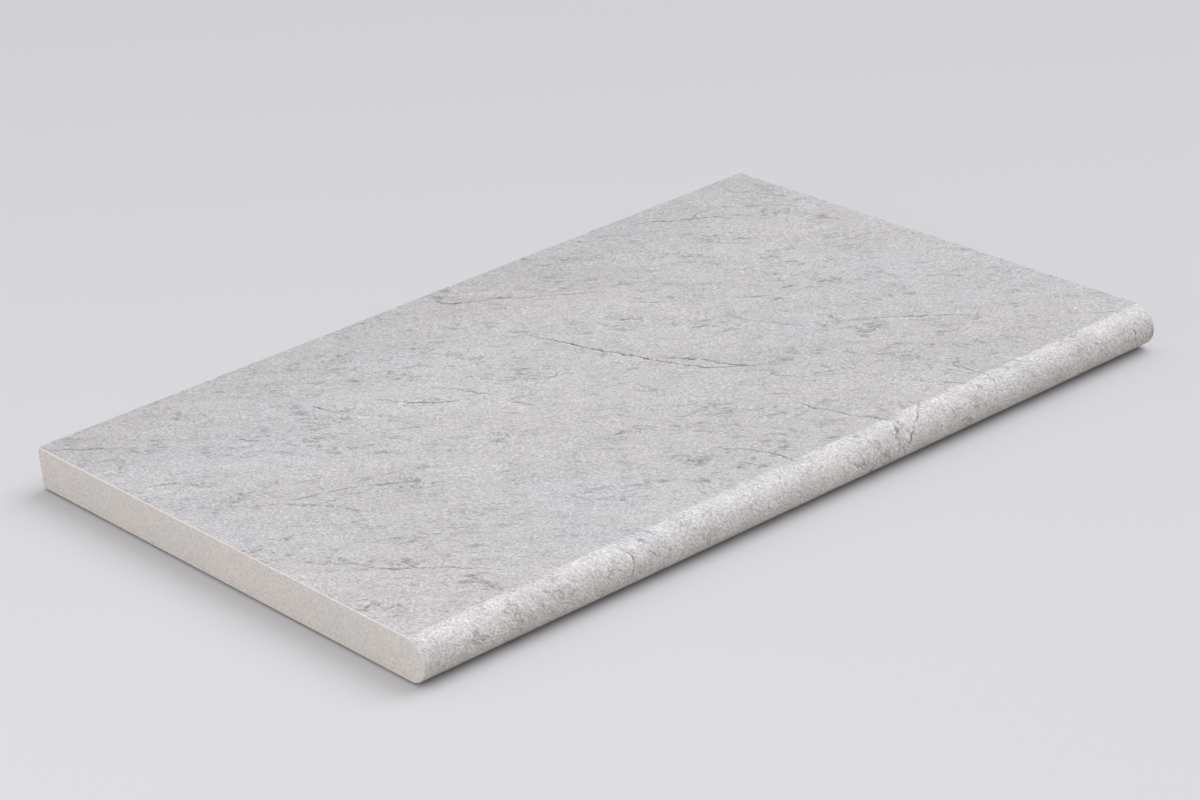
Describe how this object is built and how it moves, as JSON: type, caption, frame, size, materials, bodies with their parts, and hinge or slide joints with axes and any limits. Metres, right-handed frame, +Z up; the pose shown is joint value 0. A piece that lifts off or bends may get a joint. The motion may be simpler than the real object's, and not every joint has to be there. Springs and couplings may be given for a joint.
{
  "type": "infinity pool edge tile",
  "caption": "Rectangular porcelain coping tile with a full bullnose along one long edge, for the overflow edge of a pool.",
  "frame": {"origin": "middle of the plan, nose included, at the faces of the keying ribs that the tile stands on", "axes": "+X along the nose, the nose faces -Y, +Z up out of the walking surface"},
  "size_m": [0.5, 0.33, 0.025],
  "materials": {
    "porcelain": "matt grey stone-look glaze on the top and, a little lighter, on the nose; bare cream-grey body on the sawn edges and the underside"
  },
  "bodies": {
    "root": {"coping_tile": "porcelain"}
  },
  "joints": []
}
